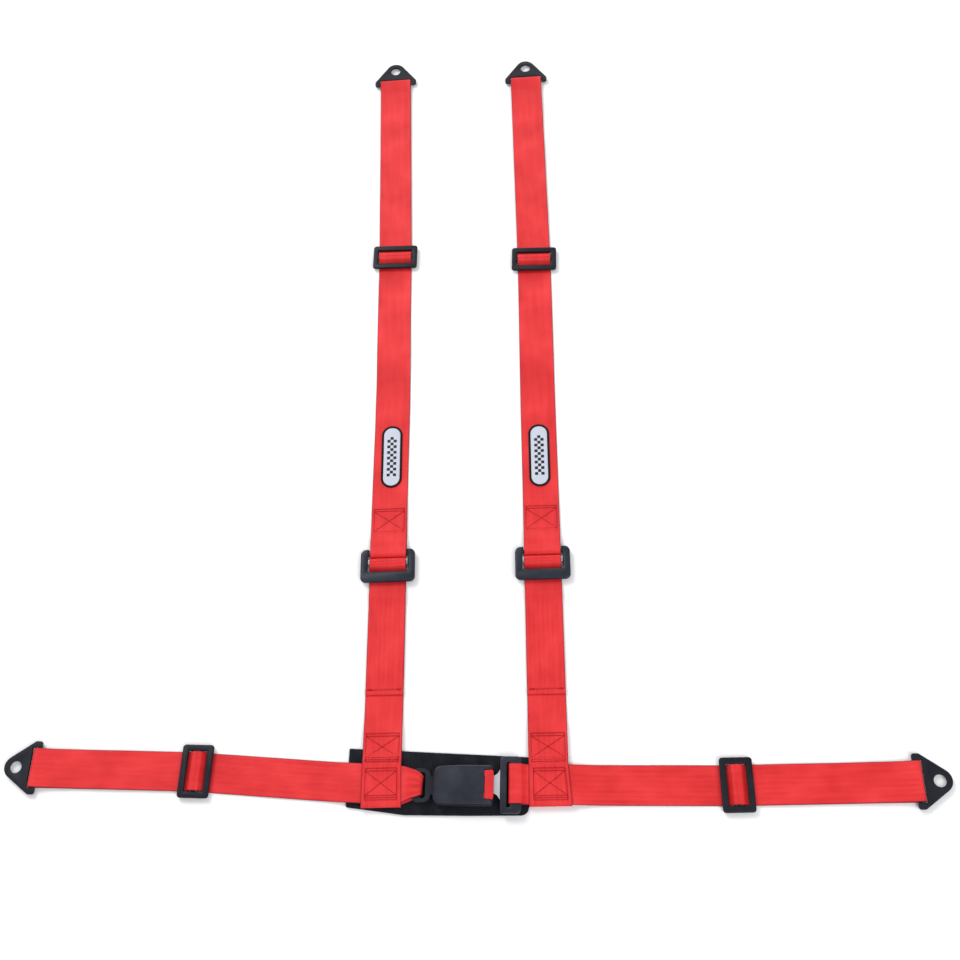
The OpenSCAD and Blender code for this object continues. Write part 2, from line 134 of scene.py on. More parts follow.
def length_along(node, along):
    """Length of a strap's solid along its direction, in millimetres."""
    lo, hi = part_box(node)
    size = hi - lo
    if abs(along[1]) > abs(along[0]):
        return (size.y / MM - WEB_W * abs(along[0])) / abs(along[1])
    return (size.x / MM - WEB_W * abs(along[1])) / abs(along[0])


def strap_start(node, along, offset):
    """Point on a strap's line, offset millimetres up from the low end of its solid."""
    c = centre_of(node)
    back = (length_along(node, along) / 2 - offset) * MM
    return Vector((c.x - along[0] * back, c.y - along[1] * back, 0))


# ---- Geometry ----

def arc(cx, cy, r, start, end, n=10):
    return [(cx + r * math.cos(math.radians(start + (end - start) * k / n)),
             cy + r * math.sin(math.radians(start + (end - start) * k / n))) for k in range(n + 1)]


def rounded(path, passes):
    """Cuts the corners of an open path, with its ends kept."""
    for _ in range(passes):
        out = [path[0]]
        for (ax, ay), (bx, by) in zip(path, path[1:]):
            out.append((ax * 0.75 + bx * 0.25, ay * 0.75 + by * 0.25))
            out.append((ax * 0.25 + bx * 0.75, ay * 0.25 + by * 0.75))
        path = out + [path[-1]]
    return path


def spaced(path, step):
    """The path with points no further apart than step, and none nearer than a quarter millimetre."""
    out = [path[0]]
    for p in path[1:]:
        gap = math.dist(out[-1], p)
        if gap < 0.25 and p != path[-1]:
            continue
        n = max(1, math.ceil(gap / step))
        a = out[-1]
        out += [(a[0] + (p[0] - a[0]) * k / n, a[1] + (p[1] - a[1]) * k / n)
                for k in range(1, n + 1)]
    return out


def tangent(p, c):
    """Angle at which a line that touches circles p and c leaves p and meets c."""
    dx, dy = c[0] - p[0], c[1] - p[1]
    return math.atan2(dy, dx) - math.acos((p[2] - c[2]) / math.hypot(dx, dy))


def wrap(circles, n=8):
    """Outline stretched round circles given anticlockwise as (x, y, r)."""
    out = []
    for i, c in enumerate(circles):
        start = tangent(circles[i - 1], c)
        turn = (tangent(c, circles[(i + 1) % len(circles)]) - start) % (2 * math.pi)
        for k in range(n + 1):
            angle = start + turn * k / n
            out.append((c[0] + c[2] * math.cos(angle), c[1] + c[2] * math.sin(angle)))
    return out


def filleted(corners, n=8):
    """Outline through corners given anticlockwise as (x, y, r), each one rounded to its radius."""
    out = []
    for i, (x, y, r) in enumerate(corners):
        p = Vector((x, y))
        u = (Vector(corners[i - 1][:2]) - p).normalized()
        v = (Vector(corners[(i + 1) % len(corners)][:2]) - p).normalized()
        half = u.angle(v) / 2
        reach = r / math.tan(half)
        centre = p + (u + v).normalized() * (r / math.sin(half))
        a, b = p + u * reach - centre, p + v * reach - centre
        start = math.atan2(a.y, a.x)
        turn = (math.atan2(b.y, b.x) - start + math.pi) % (2 * math.pi) - math.pi
        for k in range(n + 1):
            angle = start + turn * k / n
            out.append((centre.x + r * math.cos(angle), centre.y + r * math.sin(angle)))
    return out


def between(x, points):
    """Value at x on a line through points of (x, value), with x rising."""
    if x <= points[0][0]:
        return points[0][1]
    for (x0, v0), (x1, v1) in zip(points, points[1:]):
        if x <= x1:
            return v0 + (v1 - v0) * (x - x0) / (x1 - x0)
    return points[-1][1]


def ease(t):
    """Smooth step from 0 to 1."""
    t = min(max(t, 0.0), 1.0)
    return t * t * (3 - 2 * t)


def round_box(w, h, r, cx=0.0, cy=0.0, n=8):
    """Outline of a rectangle with corners of radius r."""
    a, b = w / 2 - r, h / 2 - r
    return wrap([(cx + a, cy - b, r), (cx + a, cy + b, r), (cx - a, cy + b, r), (cx - a, cy - b, r)], n)


def circle(r, cx=0.0, cy=0.0, n=48):
    angles = [2 * math.pi * k / n for k in range(n)]
    return [(cx + r * math.cos(a), cy + r * math.sin(a)) for a in angles]


def tube(sections, sides, base=0):
    """Faces of a closed tube, first its sides and then its two ends, with vertices numbered on from base."""
    end = base + (sections - 1) * sides
    faces = []
    for a in range(base, end, sides):
        for k in range(sides):
            q = (k + 1) % sides
            faces.append((a + k, a + q, a + sides + q, a + sides + k))
    return faces + [tuple(reversed(range(base, base + sides))), tuple(range(end, end + sides))]


def new_object(name, data):
    obj = bpy.data.objects.new(name, data)
    bpy.context.scene.collection.objects.link(obj)
    return obj


def evaluated_mesh(obj):
    """The object's mesh with its modifiers or curve settings applied."""
    return bpy.data.meshes.new_from_object(obj.evaluated_get(bpy.context.evaluated_depsgraph_get()))


def add_object(name, verts, faces, matrix, material, smooth_angle=40.0):
    mesh = bpy.data.meshes.new(name)
    mesh.from_pydata([matrix @ Vector(v) for v in verts], [], faces)
    mesh.validate()
    obj = new_object(name, mesh)
    finish_mesh(obj, material, smooth_angle)
    return obj


def finish_mesh(obj, material, smooth_angle):
    """Faces turned outward, one material, and smooth shading up to an angle in degrees."""
    bm = bmesh.new()
    bm.from_mesh(obj.data)
    bmesh.ops.recalc_face_normals(bm, faces=bm.faces)
    bm.to_mesh(obj.data)
    bm.free()
    obj.data.materials.clear()
    obj.data.materials.append(material)
    obj.data.polygons.foreach_set("use_smooth", [True] * len(obj.data.polygons))
    obj.data.set_sharp_from_angle(angle=math.radians(smooth_angle))


def set_lay(obj, values):
    """Stores where each vertex lies in the cloth, in metres: across, along and off the middle."""
    lay = obj.data.attributes.new("lay", "FLOAT_VECTOR", "POINT")
    lay.data.foreach_set("vector", [c for v in values for c in v])


def section(width, n=24):
    """Cross-section of webbing: points (across, height) of a flat strip with round, thicker edges."""
    thicker, rim_at, rim_spread = 0.14, 1.2, 1.1
    r = WEB_T / 2
    xs = [-1 + 2 * k / n for k in range(n + 1)]
    half = width / 2 - r
    top = []
    for x in xs:
        edge = (1 - abs(x)) * half
        top.append((x * half, r - thicker + thicker * math.exp(-((edge - rim_at) / rim_spread) ** 2)))
    round_edge = [math.radians(d) for d in (55, 20, -20, -55)]
    side = [(half + r * math.cos(a), r * math.sin(a)) for a in round_edge]
    bottom = [(x, -z) for x, z in reversed(top)]
    other = [(-x, -z) for x, z in side]
    return top + side + bottom + other


def ribbon(name, path, matrix, material, step, drapes, passes=2):
    """A length of webbing. path is its side view, and each drape(x, y, z) gives a move (dx, dy, dz)."""
    line = spaced(rounded(path, passes), step)
    ring = section(WEB_W)
    verts, lay = [], []
    run = 0.0
    last = len(line) - 1
    for i, p in enumerate(line):
        a, b = line[max(i - 1, 0)], line[min(i + 1, last)]
        d = math.dist(a, b)
        ty, tz = (b[0] - a[0]) / d, (b[1] - a[1]) / d
        run += math.dist(line[i - 1], p) if i else 0.0
        for x, h in ring:
            moved = Vector((x, p[0] - tz * h, p[1] + ty * h))
            for drape in drapes:
                moved += Vector(drape(x, p[0], p[1]))
            verts.append(moved)
            lay.append((x * MM, run * MM, h * MM))
    *sides, start, end = tube(len(line), len(ring))
    faces = [*sides, start[::-1], end[::-1]]
    obj = add_object(name, verts, faces, matrix, material, 50.0)
    set_lay(obj, lay)
    return obj


def plate(name, outlines, z, t, bevel, matrix, material, smooth_angle=35.0):
    """A flat piece with rounded edges: the first outline is its edge, the others are holes."""
    curve = bpy.data.curves.new(name, "CURVE")
    curve.dimensions = "2D"
    curve.fill_mode = "BOTH"
    curve.extrude = t / 2 - bevel
    curve.bevel_depth = bevel
    curve.bevel_resolution = 3
    curve.offset = -bevel
    for outline in outlines:
        spline = curve.splines.new("POLY")
        spline.points.add(len(outline) - 1)
        spline.points.foreach_set("co", [c for x, y in outline for c in (x, y, 0, 1)])
        spline.use_cyclic_u = True
    temp = new_object(name, curve)
    mesh = evaluated_mesh(temp)
    bpy.data.objects.remove(temp)
    bpy.data.curves.remove(curve)
    mesh.name = name
    mesh.transform(matrix @ Matrix.Translation((0, 0, z + t / 2)))
    obj = new_object(name, mesh)
    bm = bmesh.new()
    bm.from_mesh(mesh)
    bmesh.ops.remove_doubles(bm, verts=bm.verts, dist=1e-6)
    bm.to_mesh(mesh)
    bm.free()
    finish_mesh(obj, material, smooth_angle)
    return obj


def rings(name, outline_at, profile, matrix, material):
    """A closed form lofted through outlines: profile lists (inset, height), from underside to top."""
    verts = []
    for inset, z in profile:
        verts += [(x, y, z(x, y) if callable(z) else z) for x, y in outline_at(inset)]
    faces = tube(len(profile), len(outline_at(0.0)))
    return add_object(name, verts, faces, matrix, material, 35.0)


def cylinder(name, r, a, b, matrix, material, sides=32, ridges=0):
    """A round bar from a to b, with a small chamfer at each end and lengthwise ridges if asked for."""
    a, b = Vector(a), Vector(b)
    axis = (b - a).normalized()
    u = axis.orthogonal().normalized()
    v = axis.cross(u)
    length, chamfer, end_size, ridge = (b - a).length, 0.3, 0.85, 0.05
    verts = []
    stations = [(0, end_size), (chamfer, 1), (length - chamfer, 1), (length, end_size)]
    for s, k in stations:
        for i in range(sides):
            turn = 2 * math.pi * i / sides
            out = r * k * (1 + (ridge * math.cos(ridges * turn) if ridges else 0))
            verts.append(a + axis * s + (u * math.cos(turn) + v * math.sin(turn)) * out)
    return add_object(name, verts, tube(len(stations), sides), matrix, material)


def cube(x0, y0, z0, x1, y1, z1):
    """Corners and faces of a box, for cutting."""
    verts = [(x, y, z) for z in (z0, z1) for y in (y0, y1) for x in (x0, x1)]
    return verts, [(0, 2, 3, 1), (4, 5, 7, 6), (0, 1, 5, 4), (2, 6, 7, 3), (0, 4, 6, 2), (1, 3, 7, 5)]


def join(obj, *others):
    """Joins other objects into obj."""
    with bpy.context.temp_override(active_object=obj, selected_editable_objects=[obj, *others]):
        bpy.ops.object.join()
    return obj


def cut(obj, tool, material):
    """Takes tool away from obj and deletes tool."""
    mod = obj.modifiers.new("cut", "BOOLEAN")
    mod.operation = "DIFFERENCE"
    mod.solver = "EXACT"
    mod.object = tool
    mesh = evaluated_mesh(obj)
    obj.modifiers.clear()
    obj.data = mesh
    bpy.data.objects.remove(tool)
    obj.data.materials.clear()
    obj.data.materials.append(material)


def stitches(name, rows, surface, matrix, material, drapes, pitch=3.0, r=0.45):
    """Thread along rows of (x, y) corners on surface(y), as separate stitches that dip at their ends."""
    verts, faces = [], []
    # share of the stitch's length, size against r, and rise above the webbing
    shape = [(0.05, 0.4, -0.3), (0.22, 1.0, 0.0), (0.5, 1.1, 0.1), (0.78, 1.0, 0.0), (0.95, 0.4, -0.3)]
    sides = 6
    clear = 0.1
    for row in rows:
        for a, b in zip(row, row[1:]):
            a, b = Vector(a), Vector(b)
            n = max(1, round((b - a).length / pitch))
            along = (b - a) / n
            across = Vector((-along.y, along.x)).normalized()
            for k in range(n):
                base = len(verts)
                for s, size, rise in shape:
                    mid = a + along * (k + s)
                    z = surface(mid.y) + clear + rise
                    for drape in drapes:
                        move = drape(mid.x, mid.y, z)
                        mid = mid + Vector(move[:2])
                        z += move[2]
                    for i in range(sides):
                        turn = 2 * math.pi * i / sides
                        side = mid + across * (r * size * math.cos(turn))
                        verts.append((side.x, side.y, z + r * size * math.sin(turn)))
                faces += tube(len(shape), sides, base)
    return add_object(name, verts, faces, matrix, material, 70.0)


def on_top(path):
    """Height of the upper face of webbing whose centre line runs through the points of path."""
    points = sorted(path)
    return lambda y: between(y, points) + WEB_T / 2


def crossed_box(x0, x1, y0, y1):
    """Rows of a box stitch with a cross, double along its top and triple along its bottom."""
    rows = [[(x0, y0), (x0, y1)], [(x1, y1), (x1, y0)]]
    top = [y1, y1 - 3.4]
    bottom = [y0 + 2.6 * k for k in range(3)]
    rows += [[(x0, y), (x1, y)] for y in top + bottom]
    rows += [[(x0, top[-1]), (x1, bottom[-1])], [(x1, top[-1]), (x0, bottom[-1])]]
    return rows


def back_tack(x0, x1, y):
    """A seam sewn to and fro at both ends."""
    rows = [[(x0, y), (x1, y)]]
    for a, b in ((x0, x0 + 7), (x1 - 6, x1)):
        rows += [[(a, y - 0.8), (b, y - 0.6)], [(a, y + 0.8), (b, y + 0.7)]]
    return rows


# ---- Materials ----

def nodes_of(name):
    mat = bpy.data.materials.new(name)
    mat.use_nodes = True
    tree = mat.node_tree
    return mat, tree, tree.nodes["Principled BSDF"]


def node(tree, kind, inputs=(), **settings):
    n = tree.nodes.new(kind)
    for key, value in settings.items():
        setattr(n, key, value)
    for key, value in inputs:
        if isinstance(value, bpy.types.NodeSocket):
            tree.links.new(value, n.inputs[key])
        else:
            n.inputs[key].default_value = value
    return n


def maths(tree, op, a, b=0.0):
    return node(tree, "ShaderNodeMath", [(0, a), (1, b)], operation=op).outputs[0]


def scaled(tree, value, factor, plus):
    """value * factor + plus"""
    return maths(tree, "ADD", plus, maths(tree, "MULTIPLY", value, factor))


def noise(tree, vector, scale, detail, roughness=0.5):
    inputs = [("Vector", vector), ("Scale", scale), ("Detail", detail), ("Roughness", roughness)]
    return node(tree, "ShaderNodeTexNoise", inputs).outputs["Fac"]


def gloss(bsdf, roughness, specular):
    """Sets the specular level, and the roughness, which is a number or a node's output."""
    if isinstance(roughness, bpy.types.NodeSocket):
        bsdf.id_data.links.new(roughness, bsdf.inputs["Roughness"])
    else:
        bsdf.inputs["Roughness"].default_value = roughness
    bsdf.inputs["Specular IOR Level"].default_value = specular


def ramp(tree, factor, stops):
    n = node(tree, "ShaderNodeValToRGB", [("Fac", factor)])
    while len(n.color_ramp.elements) < len(stops):
        n.color_ramp.elements.new(0.5)
    for element, (position, colour) in zip(n.color_ramp.elements, stops):
        element.position = position
        element.color = (*colour, 1)
    return n.outputs["Color"]


def mixed(tree, factor, a, b):
    mix = node(tree, "ShaderNodeMix", data_type="RGBA")
    for key, kind, value in (("Factor", "VALUE", factor), ("A", "RGBA", a), ("B", "RGBA", b)):
        socket = next(x for x in mix.inputs if x.name == key and x.type == kind)
        if isinstance(value, bpy.types.NodeSocket):
            tree.links.new(value, socket)
        else:
            socket.default_value = (*value, 1)
    return next(x for x in mix.outputs if x.type == "RGBA")


def bump(tree, bsdf, height, distance, strength):
    """Bump of a height in millimetres."""
    inputs = [("Height", height), ("Distance", distance * MM), ("Strength", strength)]
    tree.links.new(node(tree, "ShaderNodeBump", inputs).outputs["Normal"], bsdf.inputs["Normal"])


def wave(tree, value, period, phase=0.0):
    """Sine of a length, with its period in millimetres."""
    return maths(tree, "SINE", scaled(tree, value, 2 * math.pi / (period * MM), phase))


def lie(tree):
    """Across, along and vector outputs of the lay that each cloth piece carries."""
    lay = node(tree, "ShaderNodeAttribute", attribute_name="lay")
    xyz = node(tree, "ShaderNodeSeparateXYZ", [("Vector", lay.outputs["Vector"])])
    return xyz.outputs["X"], xyz.outputs["Y"], lay.outputs["Vector"]


def webbing_material():
    """Seat-belt webbing: lengthwise ribs crossed by the slanted floats of a twill, with a satin lustre, a
    painted satin sheen in its tone and painted shade along both edges.
    """
    mat, tree, bsdf = nodes_of("red_webbing")
    across, along, lay = lie(tree)
    zigzag = maths(tree, "PINGPONG", across, 3.0 * MM)
    floats = wave(tree, scaled(tree, zigzag, 0.9, along), 1.15)
    weave = scaled(tree, floats, 0.8, wave(tree, across, 1.5))
    stretched = node(tree, "ShaderNodeVectorMath", [(0, lay), (1, (150.0, 12.0, 0.0))], operation="MULTIPLY")
    # The lengthwise bands and soft patches of tone are partly random streaks and partly a painted satin
    # sheen.
    bands = noise(tree, stretched.outputs[0], 1.0, 3.0)
    soft = noise(tree, lay, 16.0, 2.0)
    tone_and_painted_sheen = maths(tree, "ADD", maths(tree, "MULTIPLY", bands, 0.3), maths(tree, "MULTIPLY", soft, 0.7))
    reds = [(0.34, (0.63, 0.015, 0.018)), (0.5, (0.75, 0.027, 0.030)), (0.66, (0.87, 0.044, 0.048))]
    shade = scaled(tree, weave, 0.035, 0.94)
    inputs = [(0, ramp(tree, tone_and_painted_sheen, reds)), (1, shade)]
    shaded = node(tree, "ShaderNodeVectorMath", inputs, operation="MULTIPLY").outputs[0]
    # Painted shade: the tone darkens to a deep purple-red over the last millimetre or so at both edges.
    edge_shade_at, edge_shade_fade, edge_shade_red = WEB_W / 2 - 1.2, 0.7, (0.16, 0.008, 0.024)
    rim = maths(tree, "SUBTRACT", maths(tree, "ABSOLUTE", across), edge_shade_at * MM)
    rim = maths(tree, "MULTIPLY", rim, 1 / (edge_shade_fade * MM))
    rim = maths(tree, "MULTIPLY", node(tree, "ShaderNodeClamp", [("Value", rim)]).outputs[0], 0.8)
    tree.links.new(mixed(tree, rim, shaded, edge_shade_red), bsdf.inputs["Base Color"])
    gloss(bsdf, scaled(tree, bands, 0.14, 0.40), 0.22)
    bump(tree, bsdf, weave, 0.09, 0.6)
    return mat


def thread_material():
    mat, tree, bsdf = nodes_of("dark_red_thread")
    fibres = noise(tree, node(tree, "ShaderNodeTexCoord").outputs["Object"], 900.0, 2.0)
    reds = [(0.3, (0.32, 0.008, 0.014)), (0.7, (0.48, 0.014, 0.022))]
    tree.links.new(ramp(tree, fibres, reds), bsdf.inputs["Base Color"])
    gloss(bsdf, 0.6, 0.2)
    bump(tree, bsdf, fibres, 0.08, 0.6)
    return mat


def pad_material():
    """Wide black webbing: tone and weave follow the ribs across its length, which are in the mesh, and the
    tone is a painted shade, darker in the grooves between them.
    """
    mat, tree, bsdf = nodes_of("black_ribbed_webbing")
    along, across, lay = lie(tree)
    rib = wave(tree, along, RIB, math.pi / 2)
    # Painted shade: the rib wave makes the tone darker in the grooves and lighter on the rib tops.
    mix = scaled(tree, rib, 0.25, noise(tree, lay, 55.0, 4.0))
    blacks = [(0.15, (0.002, 0.0022, 0.004)), (0.9, (0.018, 0.020, 0.027))]
    tree.links.new(ramp(tree, mix, blacks), bsdf.inputs["Base Color"])
    gloss(bsdf, 0.7, 0.12)
    bump(tree, bsdf, maths(tree, "MULTIPLY", wave(tree, across, 0.9), rib), 0.12, 0.7)
    return mat


def grained(name, dark, light, rough, grain, depth, metallic=0.0, specular=0.3):
    """Moulded plastic or coated metal: a fine grain, a slow drift of tone, uneven gloss and a painted
    highlight that makes sharp edges paler.
    """
    mat, tree, bsdf = nodes_of(name)
    coord = node(tree, "ShaderNodeTexCoord").outputs["Object"]
    fine = noise(tree, coord, grain, 3.0, 0.6)
    slow = noise(tree, coord, 40.0, 2.0)
    tone = maths(tree, "ADD", maths(tree, "MULTIPLY", slow, 0.7), maths(tree, "MULTIPLY", fine, 0.3))
    # Painted highlight: the tone is raised along sharp edges, where the mesh's pointiness is high.
    edge = maths(tree, "SUBTRACT", node(tree, "ShaderNodeNewGeometry").outputs["Pointiness"], 0.52)
    edge_highlight_limits = [("Value", maths(tree, "MULTIPLY", edge, 2.5)), ("Min", 0.0), ("Max", 0.35)]
    tone = maths(tree, "ADD", tone, node(tree, "ShaderNodeClamp", edge_highlight_limits).outputs[0])
    tree.links.new(ramp(tree, tone, [(0.3, dark), (0.8, light)]), bsdf.inputs["Base Color"])
    gloss(bsdf, scaled(tree, slow, 0.14, rough - 0.06), specular)
    bsdf.inputs["Metallic"].default_value = metallic
    bump(tree, bsdf, fine, depth, 0.5)
    return mat


def badge_material():
    """Silver woven badge with a plain chequered strip down its middle."""
    mat, tree, bsdf = nodes_of("silver_badge")
    across, along, lay = lie(tree)
    half_width, half_length = 1.5 * CHECK * MM, 7 * CHECK * MM
    inputs = [(0, lay), (1, (half_width, 0, 0.5 * CHECK * MM))]
    shifted = node(tree, "ShaderNodeVectorMath", inputs, operation="ADD").outputs[0]
    checks = node(tree, "ShaderNodeTexChecker", [("Vector", shifted), ("Scale", 1 / (CHECK * MM))])
    in_width = maths(tree, "LESS_THAN", maths(tree, "ABSOLUTE", across), half_width)
    in_length = maths(tree, "LESS_THAN", maths(tree, "ABSOLUTE", along), half_length)
    mask = maths(tree, "MULTIPLY", maths(tree, "MULTIPLY", in_width, in_length), checks.outputs["Fac"])
    fibres = noise(tree, lay, 700.0, 2.0)
    silver = ramp(tree, fibres, [(0.3, (0.46, 0.49, 0.58)), (0.7, (0.62, 0.65, 0.74))])
    tree.links.new(mixed(tree, mask, silver, (0.005, 0.005, 0.008)), bsdf.inputs["Base Color"])
    gloss(bsdf, 0.45, 0.3)
    bump(tree, bsdf, maths(tree, "ADD", wave(tree, along, 0.7), fibres), 0.06, 0.6)
    return mat


def border_material():
    """Black satin stitch, whose threads run across the border."""
    mat, tree, bsdf = nodes_of("black_badge_border")
    across, along, lay = lie(tree)
    threads = wave(tree, scaled(tree, across, 0.25, along), 0.9)
    mix = scaled(tree, threads, 0.2, noise(tree, lay, 300.0, 2.0))
    blacks = [(0.3, (0.002, 0.002, 0.003)), (0.8, (0.012, 0.009, 0.012))]
    tree.links.new(ramp(tree, mix, blacks), bsdf.inputs["Base Color"])
    gloss(bsdf, 0.6, 0.15)
    bump(tree, bsdf, threads, 0.15, 0.8)
    return mat


RED = webbing_material()
THREAD = thread_material()
PAD = pad_material()
COATED = grained("black_coated_steel", (0.008, 0.011, 0.018), (0.031, 0.038, 0.057), 0.36, 1400.0, 0.05,
                 specular=0.24)
PLATE_BLACK = grained("black_plate_steel", (0.003, 0.0036, 0.007), (0.016, 0.018, 0.027), 0.42, 1100.0, 0.06,
                      specular=0.22)
CASING = grained("dark_casing_plastic", (0.007, 0.008, 0.014), (0.030, 0.033, 0.052), 0.34, 1700.0, 0.04)
BUTTON = grained("red_button_plastic", (0.56, 0.014, 0.018), (0.74, 0.030, 0.034), 0.36, 1500.0, 0.03)
CHROME = grained("bright_plated_steel", (0.55, 0.57, 0.62), (0.80, 0.82, 0.86), 0.24, 2000.0, 0.015, 1.0)
STEEL = grained("bare_steel", (0.38, 0.39, 0.41), (0.60, 0.61, 0.63), 0.34, 1800.0, 0.03, 1.0)
BADGE_CLOTH = badge_material()
BORDER = border_material()


# ---- Camera, floor and light ----

CAMERA_AT = (0.1294, -0.8691, 1.4875)  # metres
CAMERA_LENS, SENSOR = 46.08, 36.0
HEADING, PITCH_DOWN, ROLL = 9.5, 63.88, 9.112


def look():
    """A camera above the buckle that looks down over the whole harness, turned a little to one side."""
    heading, pitch, roll = (math.radians(angle) for angle in (HEADING, PITCH_DOWN, ROLL))
    right = Vector((math.cos(heading), math.sin(heading), 0))
    ahead = Vector((-math.sin(heading) * math.cos(pitch), math.cos(heading) * math.cos(pitch),
                    -math.sin(pitch)))
    down = Vector((math.sin(heading) * math.sin(pitch), -math.cos(heading) * math.sin(pitch),
                   -math.cos(pitch)))
    image_right = right * math.cos(roll) + down * math.sin(roll)
    image_up = right * math.sin(roll) - down * math.cos(roll)
    data = bpy.data.cameras.new("camera")
    data.sensor_width = SENSOR
    data.lens = CAMERA_LENS
    cam = new_object("camera", data)
    turn = Matrix((image_right, image_up, -ahead)).transposed().to_4x4()
    cam.matrix_world = Matrix.Translation(CAMERA_AT) @ turn
    bpy.context.scene.camera = cam


def area_light(name, at, towards, size, power):
    data = bpy.data.lights.new(name, "AREA")
    data.shape = "DISK"
    data.size = size
    data.energy = power
    lamp = new_object(name, data)
    lamp.location = at
    lamp.rotation_mode = "QUATERNION"
    lamp.rotation_quaternion = (Vector(towards) - Vector(at)).to_track_quat("-Z", "Y")


def studio():
    """A white floor, a soft light from the upper left, a weaker one opposite and a low one from behind."""
    floor_mat, _, bsdf = nodes_of("pale_floor")
    bsdf.inputs["Base Color"].default_value = (0.94, 0.94, 0.945, 1)
    gloss(bsdf, 0.9, 0.1)
    mesh = bpy.data.meshes.new("floor")
    far = 6
    mesh.from_pydata([(-far, -far, 0), (far, -far, 0), (far, far, 0), (-far, far, 0)], [], [(0, 1, 2, 3)])
    mesh.materials.append(floor_mat)
    floor = new_object("floor", mesh)
    floor.location.z = -0.3 * MM
    world = bpy.data.worlds.new("studio")
    bpy.context.scene.world = world
    world.use_nodes = True
    background = world.node_tree.nodes["Background"]
    background.inputs["Color"].default_value = (0.97, 0.98, 1.0, 1)
    background.inputs["Strength"].default_value = 0.60
    area_light("key", (-1.8, 1.8, 2.8), (0, -0.05, 0), 2.0, 78)
    area_light("fill", (1.5, -2.1, 2.5), (0.2, -0.3, 0), 2.0, 44)
    area_light("rim", (0.2, 3.4, 1.0), (0, 0, 0), 1.6, 20)
    bpy.context.scene.view_settings.view_transform = "Standard"


look()
studio()


# ---- Pieces that keep their CAD shape ----

def dress(name, material, bevel=0.0):
    """Gives a CAD node a material and, if asked for, softly rounded edges."""
    obj = frame["nodes"][name]
    obj.data.materials.clear()
    obj.data.materials.append(material)
    for polygon in obj.data.polygons:
        polygon.material_index = 0
    if bevel:
        mod = obj.modifiers.new("edges", "BEVEL")
        mod.width = bevel * MM
        mod.segments = 3
        mod.limit_method = "ANGLE"
        mod.angle_limit = math.radians(35)


dress("tongue_blade", CHROME, 0.35)
dress("buckle_frame", PLATE_BLACK, 0.6)
for name in ("buckle_screws", "latch", "latch_pin", "ejector_spring"):
    dress(name, STEEL)
dress("ejector", CASING)
dress("buckle_lower_cover", CASING, 0.4)


# ---- Straps ----

def wavy(seed, amount, y0, y1):
    """A gentle lift of limp webbing between y0 and y1, never down through the surface."""
    rng = random.Random(seed)
    slant, fade_over = 0.012, 30
    parts = [(rng.uniform(70, 150), rng.uniform(0, 6.28), rng.uniform(0.4, 1.0)) for _ in range(3)]

    def drape(x, y, z):
        fade = ease((y - y0) / fade_over) * ease((y1 - y) / fade_over)
        total = sum(a * (1 - math.cos(2 * math.pi * y / length + phase + x * slant))
                    for length, phase, a in parts)
        return 0, 0, amount * fade * total / len(parts)

    return drape


def creases(places, above, depth):
    """Fine creases across the upper layer of a fold, at the given distances along."""
    slant, width = 0.02, 0.8

    def drape(x, y, z):
        if z < above:
            return 0, 0, 0
        return 0, 0, -depth * sum(math.exp(-((y - at - slant * x) / width) ** 2) for at in places)

    return drape


def bowed(amount, y0, y1):
    """A slight sideways bow of the webbing between y0 and y1."""
    def drape(x, y, z):
        share = min(max((y - y0) / (y1 - y0), 0), 1)
        return amount * math.sin(math.pi * share) ** 2, 0, 0

    return drape


def swell(centre, spread, height):
    """A low rise across the webbing, where it springs up beside the hardware."""
    return lambda x, y, z: (0, 0, height * math.exp(-((y - centre) / spread) ** 2))


def stand_in(cad_node):
    """Webbing that stands in for a CAD node."""
    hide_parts(cad_node)


def sewn(name, rows, surface, matrix, body, drapes=()):
    """A seam that rides on a body."""
    seam = stitches(name, rows, surface, matrix, THREAD, drapes)
    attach(seam, body)


def hard(piece, cad_node, body):
    """A hard piece that stands in for a CAD node and rides on its body."""
    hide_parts(cad_node)
    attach(piece, body)


def anchor(name, node_name, body):
    """An anchor plate: a rounded triangle with a strap slot and a bolt hole. body also names its hinge."""
    hinge = JOINT[body]
    lift = Vector(hinge["axis"])
    at = place(hinge["pos_m"], (-lift.y, lift.x))
    half, notch = PLATE_W / 2, WEB_W / 2 + 1
    foot_r, shoulder_r, foot_y, shoulder_y = 3, 4, -2.6, 1.5
    edge = wrap([(half - foot_r, foot_y, foot_r), (half - shoulder_r, shoulder_y, shoulder_r),
                 (0, HOLE_TO_BAR, NOSE_R), (-half + shoulder_r, shoulder_y, shoulder_r),
                 (-half + foot_r, foot_y, foot_r)])
    inside, outside = PLATE_BAR / 2 + PLATE_SLOT, foot_y - foot_r
    recess = [(-notch, outside), (-notch, inside), (notch, inside), (notch, outside)]
    outlines = [edge + recess, circle(HOLE_R, 0, HOLE_TO_BAR)]
    piece = plate(name, outlines, BAR_Z - PLATE_T / 2, PLATE_T, 0.5, at, PLATE_BLACK)
    end = notch + 1.5
    bar = cylinder("bar", 1, (-end, 0, 0), (end, 0, 0), Matrix(), PLATE_BLACK, 24)
    oval = Matrix.Diagonal((1, PLATE_BAR / 2, PLATE_T / 2, 1))
    bar.data.transform(at @ Matrix.Translation((0, 0, BAR_Z)) @ oval)
    hard(join(piece, bar), node_name, body)


def three_bar(name, node_name, along, body, turn):
    """A slide: a flat frame with a bar across its middle, turned in the plane by an angle in degrees."""
    window = SLIDE_LEN / 2 - SLIDE_OUTER - SLIDE_CENTRE / 2
    middle = SLIDE_CENTRE / 2 + window / 2
    holes = [round_box(WEB_W + 2, window, 1.2, 0, side * middle, 4) for side in (-1, 1)]
    piece = plate(name, [round_box(SLIDE_W, SLIDE_LEN, 4)] + holes, SLIDE_Z, SLIDE_T, 1.3,
                  place(centre_of(node_name), along) @ turned(turn), PLATE_BLACK)
    hard(piece, node_name, body)


